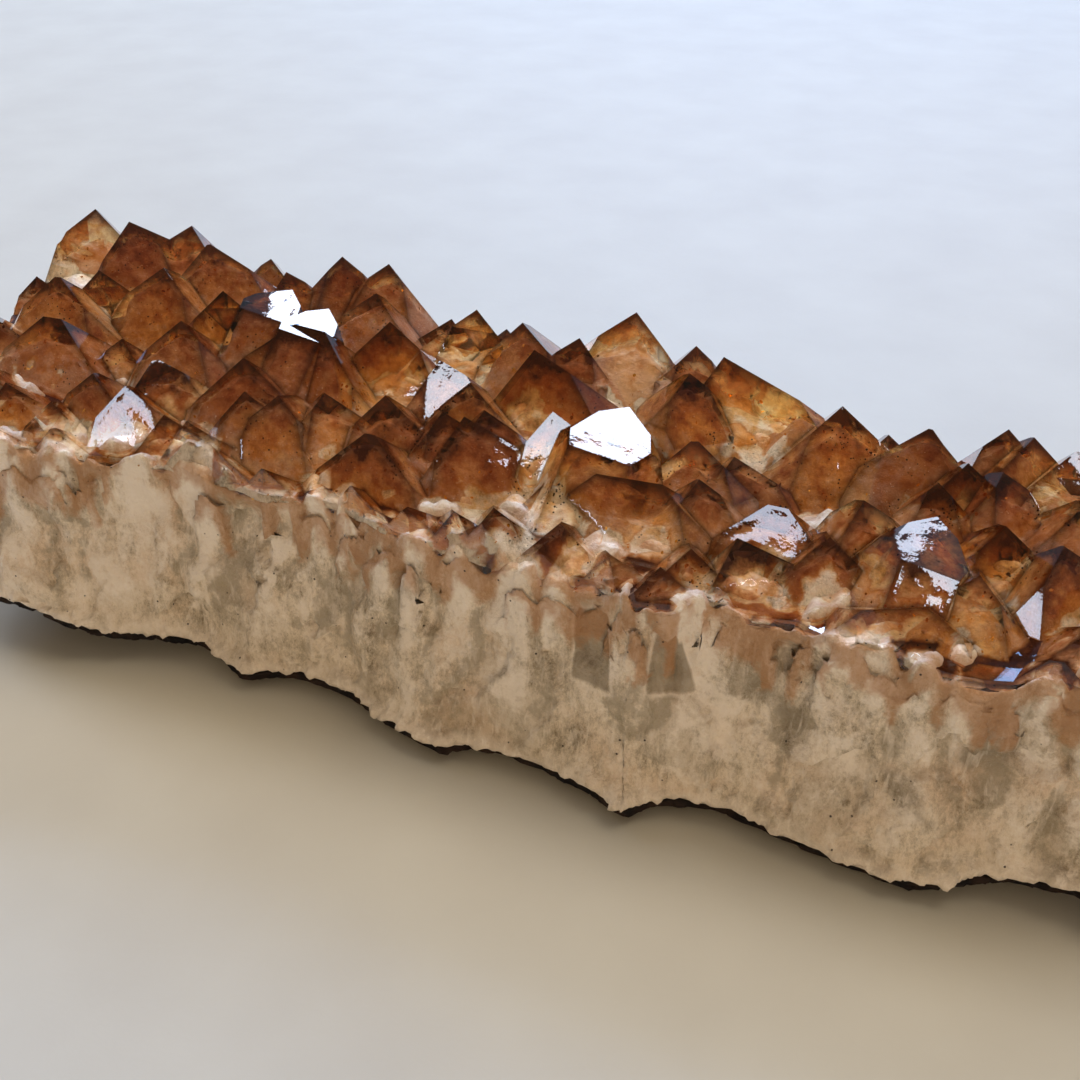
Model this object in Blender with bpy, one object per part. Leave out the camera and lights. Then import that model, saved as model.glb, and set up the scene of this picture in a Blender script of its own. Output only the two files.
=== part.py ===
"""Citrine cluster: amber quartz points on a band of pale massive quartz, with a thin rind of basalt.

The piece is a slab broken from the wall of a geode and laid down with its points up. Three layers lie
on each other: the basalt rind underneath, the band of massive quartz, and the crust of grown-together
points. The origin is under the middle of the slab, on the surface that it rests on. +X runs along the
slab, -Y is the side where the break leans out, and +Z is up.

Lengths in the tables and functions are millimetres; the meshes are made in metres.
"""
import math
import random
from typing import NamedTuple

import bmesh
import bpy
from mathutils import Matrix, Vector, noise

MM = 0.001

# Driving dimensions of the layers, in millimetres.
BAND_TOP = 26.0         # the pale band ends here, above the resting surface, in the middle of the slab
RIND_THICKNESS = 1.0    # the basalt skin
RIND_REACH = 0.985      # share of the slab's half width that the skin covers; the band overhangs it
SEAM = 0.3              # gap kept between two layers
EDGE_LIFT = 1.2         # the underside curls up this much at the slab's edge
REST_SHARE = 0.62       # share of the slab's half width that lies flat on the surface
FACE_LEAN = 4.6         # the front face leans in by this much from its foot to the top of the band
BACK_LEAN = 2.0         # the same at the back and the ends
COLUMN_DEPTH = 2.3      # hollows between the upright columns of the broken faces
LEDGE_DEPTH = 2.0       # hollows between the ledges that cross them
SWELL_DEPTH = 1.6       # the seam between the band and the points rises and falls by this much
CRUST_DEPTH = 1.3       # solid amber quartz between the band and the deepest valleys of the points

# The slab's two ends curl up from the surface, each from a start in x and by a rate per millimetre.
LEFT_CURL_START, LEFT_CURL = -20.0, 0.0030
RIGHT_CURL_START, RIGHT_CURL = 52.0, 0.0035
CURL_LIMIT = 10.0

# Driving dimensions of the crystals.
POINT_SLOPE = 51.8      # slope of a quartz pyramid face, in degrees
CREST_HEIGHT = 38.0     # height of the tallest row of points at the middle of the slab
CREST_FALL = 0.030      # the crest drops by this much per millimetre towards +X
CREST_LINE = 17.0       # how far behind the spine the crest runs at the middle of the slab
CREST_TURN = 0.08       # the crest comes forward by this much per millimetre towards +X
FRONT_FALL = 0.0040     # ahead of the crest the tips drop by this, times the distance squared
BACK_SLOPE = 0.85       # behind the crest they step down with this slope
SEAM_SLOPE = 0.45       # and the top of the band with this one
END_SLOPE = 0.7         # the tips drop with this slope past both ends of the crest
CREST_ENDS = (-80.0, 78.0)
ROOT = 14.0             # the points reach down to this height before the crust is trimmed

# The small points that fill the valleys stand on a loose grid.
FILLER_PITCH = 6.8
FILLER_WIDTH = 9.5
FILLER_SPREAD = (0.85, 1.35)    # shares of that width
FILLER_SINK = (1.5, 4.0)        # how far their tips stay below the crest's slope
FILLER_LEAN = 12.0              # they lean up to this many degrees either way
FILLER_OUTWARD = 0.3            # and this many degrees further out per millimetre from the spine
FILLER_CLEARANCE = 0.60         # least distance from a large point's tip, as a share of its width
GRID_ROWS = (-30.0, 24.0)       # the grid's first and last row, in y
GRID_COLUMNS = (-90.0, 90.0)    # and its first and last column, in x
GRID_JITTER = 2.0

# The slab's outline at its foot, anticlockwise from the left front corner.
FRONT_EDGE = [
    (-71, -29), (-66, -30), (-62, -30), (-57, -29.2), (-53, -29.6), (-47, -28.5), (-40.5, -25.4),
    (-35, -23.6), (-31, -25), (-27, -26.8), (-23.5, -24.6), (-20, -23.8), (-13, -24.4), (-8, -26.4),
    (-3, -28.2), (2.5, -29.4), (5.5, -27.2), (9.5, -26.6), (14.5, -27.2), (20.5, -28.8), (26.5, -31),
    (28.8, -27.8), (32, -26.5), (35.5, -25.8), (41, -26.6), (46, -27.5), (51.5, -28.4), (57, -29),
    (61, -28.2), (65.5, -25.4), (69, -24.6), (75, -25), (80, -26.5),
]
RIGHT_EDGE = [(85, -23), (88, -16), (86.5, -8), (89, 0), (87.5, 9), (88.5, 17), (84, 23)]
BACK_EDGE = [
    (78, 27), (70, 25), (62, 27.5), (54, 26), (46, 28.5), (37, 27), (28, 30), (19, 29), (10, 31),
    (1, 29), (-8, 30.5), (-17, 29), (-26, 31), (-35, 29.5), (-44, 31), (-53, 30), (-62, 31), (-71, 29.5),
    (-80, 30.5),
]
LEFT_EDGE = [(-87, 28), (-89, 20), (-87, 12), (-86, 4), (-82, -3), (-80, -11), (-76, -18), (-75, -25)]
OUTLINE = [Vector(point) for point in FRONT_EDGE + RIGHT_EDGE + BACK_EDGE + LEFT_EDGE]
SMOOTHING = 3           # the notches of the foot fade over the lower part of the broken face
SPINE_LEFT, SPINE_RIGHT = -58.0, 62.0
RING_SHARES = (REST_SHARE, 0.84)


class Crystal(NamedTuple):
    """One quartz point, in millimetres and degrees."""

    x: float            # place of the tip
    y: float
    top: float          # height of the tip
    width: float        # across the prism
    turn: float         # about the point's own axis
    lean_x: float       # of that axis, towards +X
    lean_y: float       # and towards +Y
    ridge: float = -1.0     # length of the ridge that it ends in; negative: a short one, by chance


# The large points, row by row from the crest down to the lip of the broken front face.
CREST_ROW = [
    (-80.3, 22.3, 40.3, 19, 20, 2, 2, 1.6), (-72, 20.5, 40.1, 14, 40, -14, 2),
    (-63, 23.5, 39.8, 16, 5, 4, 3), (-56.5, 18.5, 39.6, 16, 25, -12, 2), (-50, 25, 36, 10, 12, 3, 6),
    (-43.5, 18, 37.6, 10, 50, -4, 2), (-36.5, 23, 39.1, 12, 35, 2, 4), (-30, 24, 38.8, 15, 12, 3, 4),
    (-18.5, 20, 33.6, 9, 8, 4, 5), (-11.5, 15, 38.3, 12, 22, 10, 2, 1.2),
    (-4.7, 14, 38.1, 13, 0, -9, 0, 1.8), (3, 14.5, 37.2, 7, 5, 3, 4), (7.7, 23.8, 37.7, 18, 15, 8, 3),
    (17.5, 20, 36.2, 9, 30, 4, 5), (22.4, 16, 37.5, 23, 25, -13, 1), (39, 9.6, 36.8, 21, 20, 0, 2),
    (48.4, 8.7, 36.1, 15, 0, 2, 2, 4), (57.2, 12.6, 36.2, 9, 10, 2, 4), (60.3, 11.6, 36.2, 14, 33, 9, 2),
    (66, 10.5, 36, 13, 15, 0, 2, 3), (77, 11, 34.6, 14, 40, 6, 3), (84, 4, 32.5, 12, 10, 10, 0),
]
UPPER_ROW = [
    (-80, 8, 34.8, 13, 30, -4, 0), (-70, 1, 38.9, 16, 5, -4, -3, 4), (-67, 6.5, 38.4, 11, 40, 0, 2, 2),
    (-57.7, 9, 39.6, 16, 8, 2, 0), (-46, 6.5, 38.8, 11, 32, 3, 0), (-38, 11, 38.8, 9, 0, 9, 46, 2),
    (-30.5, 8, 38.4, 9, 0, 9, 46), (-26.5, 13.8, 38.7, 11, 3, 2, 2), (-21, 7, 38.3, 12, 26, 2, 0),
    (-11, 1.5, 37.4, 11, 38, -4, -2), (-5, -1.5, 36.8, 11, 10, 0, -2), (-.4, 8, 38, 21, 17, -14, 0),
    (19.5, 10, 37.2, 11, 42, 4, 0), (15.4, -.5, 37.2, 11, 0, 9, 46, 2), (53.8, 3.5, 35.8, 8, 20, 0, 0),
    (57.8, 3, 36, 9, 48, 2, 0), (51.5, -1.5, 35.5, 8, 13, 0, -2), (67, 1, 35.2, 12, 27, 2, -2),
    (76, -1, 34, 14, 8, 5, -2),
]
MIDDLE_ROW = [
    (-76.5, -7, 36, 13, 25, -6, -4), (-63.8, -8, 37.5, 16, 0, -2, -4, 4.5),
    (-47, -2.5, 38, 15, 12, 0, -2, 2), (-55, -5, 34.8, 11, 2, 0, -2), (-30, 1, 38.2, 17, -6, 0, -3, 9),
    (-34.6, -7.5, 36.6, 13, 20, 2, -5, 4), (-13.5, -8.3, 36.2, 11, 15, -2, -4),
    (-6, -8.2, 36, 8, 40, 0, -5), (-.8, -6.5, 36.4, 10, 36, 0, -3), (7, -4.5, 36.6, 10, 28, -2, -3),
    (13.6, -9.5, 35.9, 13, 18, 0, -5), (27, -10.5, 35.2, 11, 36, 2, -4),
    (36.1, -12, 34.6, 12, 0, 0, -6, 4.5), (45, -8, 35.2, 10, 41, 0, -4),
    (48.3, -11.5, 34.8, 12, 7, -2, -6), (59.5, -7, 35.2, 10, 22, 3, -4),
    (65.4, -8.5, 34.9, 13, 46, 3, -5), (76, -11, 33.6, 13, 14, 6, -6), (52.4, -8, 35.4, 9, 8, 9, 46),
]
FRONT_ROW = [
    (-69, -17, 34, 12, 12, -5, -7), (-61.6, -20, 34.2, 12, 33, -3, -8),
    (-46, -16.5, 35.1, 13, 22, -2, -7, 2), (-52, -15, 35.2, 9, 5, 0, -5),
    (-45, -10.5, 36.2, 11, 47, 0, -4), (-55, -20, 33, 10, 18, 0, -7), (-39, -18, 33, 10, 36, 0, -7),
    (-30, -13.3, 35.7, 12, 29, 0, -5, 2), (-26.4, -12.3, 35.9, 16, 8, 1, -6),
    (-20.5, -9.8, 36.2, 10, 42, 3, -4), (-12, -16, 34.7, 14, 4, 0, -7, 4),
    (-2.4, -9, 36.2, 18, 31, -7, -6), (19.5, -13.5, 35, 13, 0, -3, -7, 8.5),
    (29, -20.2, 32.8, 11, 20, 3, -9), (34, -18.5, 33.6, 18, 38, -10, -4),
    (42.7, -15.5, 34.1, 15, 17, 3, -9), (58, -15.6, 34, 13, 3, 2, -7),
    (51, -21.6, 31.8, 14, 22, 3, -19, 8), (69, -18, 31.8, 13, 13, 4, -9), (79, -18, 30.6, 12, 32, 7, -9),
]
LIP_ROW = [
    (-67, -25, 31, 10, 10, -6, -9), (-59.5, -25.5, 31.4, 9, 40, 0, -9),
    (-51.5, -24.5, 32.4, 11, 22, 0, -9), (-35, -19.3, 34, 9, 37, 0, -8), (-30.5, -22, 33, 14, 25, 0, -8),
    (-23.5, -22, 31.4, 9, 6, 0, -9), (-15.5, -22.5, 31.4, 8, 33, 0, -10),
    (-11.5, -22, 31.6, 8, 18, 0, -9), (-9, -23.5, 31, 7, 44, 0, -10), (-3.5, -23, 31.2, 9, 9, 0, -10),
    (2, -21.5, 31.4, 9, 38, 0, -9), (6.2, -20.5, 32.4, 10, 28, 0, -9), (14, -20.5, 32, 10, 12, 0, -9),
    (21, -22.5, 31, 10, 35, 2, -10), (26.4, -23, 31, 10, 20, 0, -10), (67, -23, 31, 13, 8, 0, -8, 3),
    (75, -21, 29.6, 10, 16, 4, -10),
]
LARGE_POINTS = [Crystal(*row) for row in CREST_ROW + UPPER_ROW + MIDDLE_ROW + FRONT_ROW + LIP_ROW]


def smooth_outline():
    """The outline without its notches, which the upper part of the broken faces follows."""
    points = OUTLINE
    for _ in range(SMOOTHING):
        count = len(points)
        points = [points[i] * 0.5 + (points[i - 1] + points[(i + 1) % count]) * 0.25 for i in range(count)]
    return points


def spine_point(point):
    """The point of the slab's middle line that faces a point of its outline."""
    return Vector((min(max(point.x, SPINE_LEFT), SPINE_RIGHT), 0.0))


def end_lift(x):
    """How far the slab curls up from the surface towards its two ends."""
    left = LEFT_CURL * max(0.0, LEFT_CURL_START - x) ** 2
    right = RIGHT_CURL * max(0.0, x - RIGHT_CURL_START) ** 2
    return CURL_LIMIT * math.tanh((left + right) / CURL_LIMIT)


def noise_at(point, spacing, height):
    """Smooth noise from -1 to 1 over the slab's plan, whose bumps are about one spacing apart."""
    return noise.noise(Vector((point.x / spacing, point.y / spacing, height)))


def underside(point, share):
    """Height of the rind's lower face, where share runs from 0 at the spine to 1 at the outline."""
    curl = max(0.0, (share - REST_SHARE) / (1.0 - REST_SHARE)) ** 2
    waver = 1.0 + 0.45 * noise_at(point, 11.0, 4.0)
    return end_lift(point.x) + EDGE_LIFT * curl * waver


def crest_line(x):
    """Where the crest, the tallest row of points, runs: its y at a place along the slab."""
    return CREST_LINE - CREST_TURN * x


def band_top(point):
    """Height of the seam between the pale band and the crust of points; it falls behind the crest."""
    swell = SWELL_DEPTH * noise_at(point, 16.7, 9.0)
    fall = SEAM_SLOPE * max(0.0, point.y - crest_line(point.x))
    return BAND_TOP + 0.35 * end_lift(point.x) + swell - fall


def crest_height(x, y):
    """Height that the tips reach at a place on the slab."""
    ahead = max(0.0, crest_line(x) - 3.0 - y)
    behind = max(0.0, y - crest_line(x))
    past = max(0.0, CREST_ENDS[0] - x, x - CREST_ENDS[1])
    fall = CREST_FALL * x + END_SLOPE * past + FRONT_FALL * ahead ** 2 + BACK_SLOPE * behind
    return CREST_HEIGHT - fall


def face_point(foot, upper, rise):
    """A point of the broken face: rise is 0 at the foot, 1 at the band's top and larger above it."""
    point = foot.lerp(upper, min(1.0, 3.0 * rise))
    inward = (spine_point(point) - point).normalized()
    column = COLUMN_DEPTH * noise_at(point, 4.35, 1.1 * rise)
    ledge = LEDGE_DEPTH * noise_at(point, 11.0, 5.0 + 3.2 * rise)
    hollow = min(2.0 * rise, 1.0) * (column + ledge)
    front = 0.5 - 0.5 * math.tanh(point.y / 10.0)
    lean = BACK_LEAN + (FACE_LEAN - BACK_LEAN) * front
    inset = lean * min(rise, 1.3) + hollow
    return point + inward * max(0.0, inset)


def ring(share, rise, height):
    """One closed loop of points at a share of the outline; height gives z at a flat point."""
    points = []
    for foot, upper in zip(OUTLINE, smooth_outline()):
        edge = face_point(foot, upper, rise)
        spine = spine_point(foot)
        flat = spine + (edge - spine) * share
        points.append(Vector((flat.x, flat.y, height(flat))))
    return points


def stack_solid(rings):
    """Bridge loops of equal length into one closed body; the first and last loops are filled."""
    bm = bmesh.new()
    loops = [[bm.verts.new(point * MM) for point in loop] for loop in rings]
    count = len(OUTLINE)
    for lower, upper in zip(loops, loops[1:]):
        for i in range(count):
            j = (i + 1) % count
            bm.faces.new((lower[i], lower[j], upper[j], upper[i]))
    bm.faces.new(list(reversed(loops[0])))
    bm.faces.new(loops[-1])
    bmesh.ops.triangulate(bm, faces=bm.faces[:])
    bmesh.ops.recalc_face_normals(bm, faces=bm.faces[:])
    return bm


def rind_mesh():
    """The basalt skin: its lower face is flat in the middle and curls up at the edge and ends."""
    shares = list(RING_SHARES) + [RIND_REACH]
    lower = [ring(s, 0.0, lambda p, s=s: underside(p, s)) for s in shares]
    upper = [ring(s, 0.0, lambda p, s=s: underside(p, s) + RIND_THICKNESS) for s in reversed(shares)]
    return stack_solid(lower + upper)


def band_mesh():
    """The pale band: columnar broken faces all round, with shallow ledges and hollows."""
    foot = RIND_THICKNESS + SEAM
    levels = (0.0, 0.16, 0.34, 0.52, 0.72, 1.0)
    shares = list(RING_SHARES)
    lower = [ring(s, 0.0, lambda p, s=s: underside(p, s) + foot) for s in shares]
    walls = []
    for rise in levels:
        def height(p, rise=rise):
            base = underside(p, 1.0) + foot
            return base + (band_top(p) - base) * rise
        walls.append(ring(1.0, rise, height))
    upper = [ring(s, 1.0, band_top) for s in reversed(shares)]
    return stack_solid(lower + walls + upper)


def trim_mesh():
    """The body that the points are trimmed to: the seam below, and the broken faces carried on up."""
    lower = [ring(s, 1.0, lambda p: band_top(p) + SEAM) for s in list(RING_SHARES) + [1.0]]
    walls = [ring(1.0, 1.0 + 0.3 * k, lambda p, k=k: band_top(p) + SEAM + 8.0 * k) for k in (1, 3)]
    return stack_solid(lower + walls)


def crust_mesh():
    """Solid quartz that the points stand in; it runs past the trim below and at the sides."""
    def wide(share, height):
        return [Vector((p.x * 1.04, p.y * 1.12, p.z)) for p in ring(share, 0.0, height)]
    lower = wide(1.0, lambda p: band_top(p) - 2.0)
    upper = [wide(s, lambda p: band_top(p) + SEAM + CRUST_DEPTH) for s in (1.0, REST_SHARE)]
    return stack_solid([lower] + upper)


def cut_away(bm, place, normal):
    """Cut a convex body with a plane, drop the outer side and close the cut."""
    whole = bm.verts[:] + bm.edges[:] + bm.faces[:]
    cut = bmesh.ops.bisect_plane(bm, geom=whole, plane_co=place, plane_no=normal, clear_outer=True)
    edges = [item for item in cut["geom_cut"] if isinstance(item, bmesh.types.BMEdge)]
    if edges:
        bmesh.ops.contextual_create(bm, geom=edges)


def point_body(crystal):
    """A six-sided prism that ends in three large and three small faces; returns it and its peak."""
    dice = random.Random(f"{crystal.x:.1f} {crystal.y:.1f}")
    width = crystal.width
    ridge = crystal.ridge if crystal.ridge >= 0.0 else width * dice.uniform(0.0, 0.22)
    body = bmesh.new()
    bmesh.ops.create_cube(body, size=4.0 * width + 2.0 * ridge)
    slope = math.radians(POINT_SLOPE)
    for side in range(6):
        angle = math.radians(60.0 * side + 30.0)
        out = Vector((math.cos(angle), math.sin(angle), 0.0))
        middle = Vector((math.copysign(0.5 * ridge, out.x) if side % 3 != 1 else 0.0, 0.0, 0.0))
        cut_away(body, middle + out * width * dice.uniform(0.46, 0.57), out)
        drop = dice.uniform(0.0, 0.10) if side % 2 == 0 else -dice.uniform(0.04, 0.20)
        face = out * math.sin(slope) + Vector((0.0, 0.0, math.cos(slope)))
        cut_away(body, middle - Vector((0.0, 0.0, drop * width)), face)
    return body, max(vert.co.z for vert in body.verts)


def cut_root(body, crystal, peak):
    """Give the prism its length, so that it reaches down to the root height."""
    foot = peak - (crystal.top - ROOT)
    cut_away(body, Vector((0.0, 0.0, foot)), Vector((0.0, 0.0, -1.0)))
    for vert in body.verts:
        if vert.co.z < peak - 1.9 * crystal.width:
            vert.co.z = foot


def stand_up(crystal, peak):
    """The matrix that turns and leans a point about its tip and puts the tip in its place."""
    lean = Matrix.Rotation(math.radians(crystal.lean_x), 4, "Y")
    lean = lean @ Matrix.Rotation(math.radians(-crystal.lean_y), 4, "X")
    turn = Matrix.Rotation(math.radians(crystal.turn), 4, "Z")
    place = Matrix.Translation((crystal.x, crystal.y, crystal.top))
    return Matrix.Scale(MM, 4) @ place @ lean @ turn @ Matrix.Translation((0.0, 0.0, -peak))


def add_point(bm, crystal):
    """Add one quartz point to a mesh."""
    body, peak = point_body(crystal)
    cut_root(body, crystal, peak)
    bmesh.ops.transform(body, matrix=stand_up(crystal, peak), verts=body.verts)
    bmesh.ops.recalc_face_normals(body, faces=body.faces[:])
    part = bpy.data.meshes.new("point")
    body.to_mesh(part)
    body.free()
    bm.from_mesh(part)
    bpy.data.meshes.remove(part)


def grid_places(dice):
    """The loose grid's places, in staggered rows."""
    row_pitch = FILLER_PITCH * math.sin(math.radians(60.0))
    rows = int((GRID_ROWS[1] - GRID_ROWS[0]) / row_pitch) + 1
    columns = int((GRID_COLUMNS[1] - GRID_COLUMNS[0]) / FILLER_PITCH) + 1
    for row in range(rows):
        for column in range(columns):
            x = GRID_COLUMNS[0] + FILLER_PITCH * (column + 0.5 * (row % 2))
            y = GRID_ROWS[0] + row_pitch * row
            yield x + dice.uniform(-GRID_JITTER, GRID_JITTER), y + dice.uniform(-GRID_JITTER, GRID_JITTER)


def filler_points():
    """Small points wherever no large point stands."""
    dice = random.Random(11)
    fillers = []
    for x, y in grid_places(dice):
        top = crest_height(x, y) - dice.uniform(*FILLER_SINK)
        width = FILLER_WIDTH * dice.uniform(*FILLER_SPREAD)
        turn = dice.uniform(0.0, 60.0)
        lean_x = dice.uniform(-FILLER_LEAN, FILLER_LEAN)
        lean_y = FILLER_OUTWARD * y + dice.uniform(-FILLER_LEAN, FILLER_LEAN)
        near = min(math.hypot(x - p.x, y - p.y) - FILLER_CLEARANCE * p.width for p in LARGE_POINTS)
        if near > 0.0:
            fillers.append(Crystal(x, y, top, width, turn, lean_x, lean_y))
    return fillers


def material(name, colour, roughness, transmission=0.0):
    """A finish with the layer's own colour."""
    mat = bpy.data.materials.new(name)
    mat.use_nodes = True
    shader = mat.node_tree.nodes["Principled BSDF"]
    shader.inputs["Base Color"].default_value = (*colour, 1.0)
    shader.inputs["Roughness"].default_value = roughness
    shader.inputs["Metallic"].default_value = 0.0
    shader.inputs["Transmission Weight"].default_value = transmission
    return mat


def add_object(name, bm, mat=None):
    """Make an object from a finished mesh."""
    mesh = bpy.data.meshes.new(name)
    bm.to_mesh(mesh)
    bm.free()
    obj = bpy.data.objects.new(name, mesh)
    bpy.context.collection.objects.link(obj)
    if mat:
        mesh.materials.append(mat)
    return obj


def add_cutter(name, bm):
    """A helper body for a Boolean, which is not part of the cluster."""
    obj = add_object(name, bm)
    obj.hide_render = True
    obj.display_type = "WIRE"
    return obj


def combine(target, operation, other):
    """Join or trim an object with another by a Boolean modifier."""
    modifier = target.modifiers.new(operation.lower(), "BOOLEAN")
    modifier.operation = operation
    modifier.solver = "EXACT"
    modifier.use_self = operation == "UNION"
    modifier.object = other


def build_rind():
    """The basalt that the geode grew in."""
    basalt = material("basalt", (0.020, 0.014, 0.011), 0.9)
    return add_object("basalt_rind", rind_mesh(), basalt)


def build_band():
    """The band of pale massive quartz."""
    quartz = material("milky_quartz", (0.50, 0.42, 0.32), 0.45)
    return add_object("quartz_band", band_mesh(), quartz)


def build_points():
    """The crust of amber points, grown together into one body."""
    citrine = material("citrine", (0.42, 0.13, 0.022), 0.12, 0.6)
    crust = add_object("citrine_crystals", crust_mesh(), citrine)
    bm = bmesh.new()
    for crystal in LARGE_POINTS + filler_points():
        add_point(bm, crystal)
    combine(crust, "UNION", add_cutter("point_bodies", bm))
    combine(crust, "INTERSECT", add_cutter("broken_faces", trim_mesh()))
    return crust


def main():
    """Clear the scene and build the three layers."""
    for obj in list(bpy.data.objects):
        bpy.data.objects.remove(obj)
    build_rind()
    build_band()
    build_points()


main()
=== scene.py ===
"""The looks of a citrine cluster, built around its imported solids.

The cluster is a slab of geode wall: amber points over a band of massive milky quartz, with a thin rind of
basalt beneath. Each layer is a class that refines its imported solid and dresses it. Lengths inside the
classes are millimetres unless a name says otherwise; meshes and the scene are in metres.
"""

import logging
import math
from dataclasses import dataclass
from enum import Enum

import bmesh
import bpy
import numpy as np
from mathutils import Euler, Matrix, Vector, noise
from mathutils.bvhtree import BVHTree
from mathutils.kdtree import KDTree


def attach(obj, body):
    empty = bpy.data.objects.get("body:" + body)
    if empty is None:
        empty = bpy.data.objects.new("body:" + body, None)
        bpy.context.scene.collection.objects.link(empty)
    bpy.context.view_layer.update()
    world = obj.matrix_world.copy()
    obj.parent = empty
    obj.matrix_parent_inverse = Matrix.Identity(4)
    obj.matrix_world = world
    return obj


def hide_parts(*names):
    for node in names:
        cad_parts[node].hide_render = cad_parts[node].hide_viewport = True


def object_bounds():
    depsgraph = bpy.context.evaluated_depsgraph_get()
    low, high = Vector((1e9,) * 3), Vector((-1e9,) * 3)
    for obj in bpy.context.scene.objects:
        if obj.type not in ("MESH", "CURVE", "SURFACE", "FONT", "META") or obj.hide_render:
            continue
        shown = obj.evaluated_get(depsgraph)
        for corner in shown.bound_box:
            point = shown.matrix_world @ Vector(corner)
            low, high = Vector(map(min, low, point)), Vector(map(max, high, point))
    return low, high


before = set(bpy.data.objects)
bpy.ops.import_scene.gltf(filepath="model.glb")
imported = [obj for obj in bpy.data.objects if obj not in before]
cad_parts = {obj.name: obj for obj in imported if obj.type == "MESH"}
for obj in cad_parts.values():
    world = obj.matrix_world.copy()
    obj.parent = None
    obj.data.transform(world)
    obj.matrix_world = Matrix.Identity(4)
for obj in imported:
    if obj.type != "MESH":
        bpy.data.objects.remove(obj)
CAD_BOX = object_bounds()

MM = 0.001
LOG = logging.getLogger("citrine_cluster")
NOISE_RANGE = {"From Min": 0.3, "From Max": 0.7}  # where nearly all of a noise texture's values lie

Rgba = tuple[float, float, float, float]
Tree = bpy.types.NodeTree
Socket = bpy.types.NodeSocket


class Edge(Enum):
    """How two facets meet along an edge."""

    FLAT = 0
    RIDGE = 1
    VALLEY = 2


def linear(colour: str | float) -> Rgba:
    """Turn an sRGB hex colour into linear values.

    Args:
        colour: a hash and six hex digits, or a linear number for a grey.

    Returns:
        Red, green and blue as linear numbers, and an alpha of 1.
    """
    if isinstance(colour, float):
        return (colour, colour, colour, 1.0)
    channels = [int(colour[i:i + 2], 16) / 255.0 for i in (1, 3, 5)]
    values = [c / 12.92 if c <= 0.04045 else ((c + 0.055) / 1.055) ** 2.4 for c in channels]
    return (values[0], values[1], values[2], 1.0)


def per_metre(width: float) -> float:
    """The scale of a pattern whose lumps or cells are a width in millimetres, on a mesh in metres."""
    return 1.0 / (width * MM)


def connect(tree: Tree, node: bpy.types.Node, inputs: dict[str | int, object]) -> None:
    """Set a node's inputs.

    Args:
        tree: the node tree.
        node: the node.
        inputs: socket name or index to a value, to a hex colour, or to an output socket that is linked to it.
    """
    for key, value in inputs.items():
        if isinstance(value, Socket):
            tree.links.new(value, node.inputs[key])
        else:
            node.inputs[key].default_value = linear(value) if isinstance(value, str) else value


def add_node(tree: Tree, kind: str, inputs: dict[str | int, object] | None = None, output: str | int = 0,
             stops: tuple[tuple[float, str | float | Rgba], ...] = (), **settings: object) -> Socket:
    """Add a node with its settings and links.

    Args:
        tree: the node tree.
        kind: the node's type name, without the leading "ShaderNode".
        inputs: what each input is set or linked to, as in connect.
        output: the output that is wanted, by name or index.
        stops: a colour ramp's positions and colours, from low to high; a number stands for a grey.
        settings: attributes of the node.

    Returns:
        The output socket.
    """
    node = tree.nodes.new("ShaderNode" + kind)
    for name, value in settings.items():
        setattr(node, name, value)
    connect(tree, node, inputs or {})
    if stops:
        elements = node.color_ramp.elements
        while len(elements) < len(stops):
            elements.new(1.0)
        for element, (position, colour) in zip(elements, stops):
            element.position = position
            element.color = colour if isinstance(colour, tuple) else linear(colour)
    return node.outputs[output]


def new_material(name: str) -> tuple[bpy.types.Material, Tree, bpy.types.Node]:
    """Make a node material.

    Args:
        name: the material's name.

    Returns:
        The material, its node tree and its Principled shader.
    """
    material = bpy.data.materials.new(name)
    material.use_nodes = True
    tree = material.node_tree
    return material, tree, tree.nodes["Principled BSDF"]


def welded(node: str) -> bmesh.types.BMesh:
    """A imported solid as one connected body.

    Args:
        node: the solid's name.

    Returns:
        A new bmesh in metres, with its doubled corners joined.
    """
    bm = bmesh.new()
    bm.from_mesh(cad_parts[node].data)
    bmesh.ops.remove_doubles(bm, verts=bm.verts, dist=1e-6)
    bmesh.ops.recalc_face_normals(bm, faces=bm.faces[:])
    return bm


def to_object(name: str, bm: bmesh.types.BMesh) -> bpy.types.Object:
    """Turn a bmesh into a linked object and free it.

    Args:
        name: the object's name.
        bm: the bmesh.

    Returns:
        The object.
    """
    mesh = bpy.data.meshes.new(name)
    bm.to_mesh(mesh)
    bm.free()
    obj = bpy.data.objects.new(name, mesh)
    bpy.context.scene.collection.objects.link(obj)
    return obj


def positions(mesh: bpy.types.Mesh) -> np.ndarray:
    """Read where a mesh's vertices are.

    Args:
        mesh: the mesh.

    Returns:
        Their places in millimetres, one row each.
    """
    flat = np.empty(len(mesh.vertices) * 3, np.float32)
    mesh.vertices.foreach_get("co", flat)
    return flat.reshape(-1, 3).astype(float) / MM


def set_positions(mesh: bpy.types.Mesh, points: np.ndarray) -> None:
    """Move the mesh's vertices to points in millimetres."""
    mesh.vertices.foreach_set("co", (points * MM).astype(np.float32).ravel())
    mesh.update()


def normals(mesh: bpy.types.Mesh) -> np.ndarray:
    """Read which way a mesh's vertices face.

    Args:
        mesh: the mesh.

    Returns:
        Their normals, one row each.
    """
    flat = np.empty(len(mesh.vertices) * 3, np.float32)
    mesh.vertex_normals.foreach_get("vector", flat)
    return flat.reshape(-1, 3).astype(float)


def store(mesh: bpy.types.Mesh, name: str, values: np.ndarray) -> None:
    """Keep a number for each vertex as an attribute that materials can read."""
    layer = mesh.attributes.new(name, "FLOAT", "POINT")
    layer.data.foreach_set("value", values.astype(np.float32))


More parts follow.
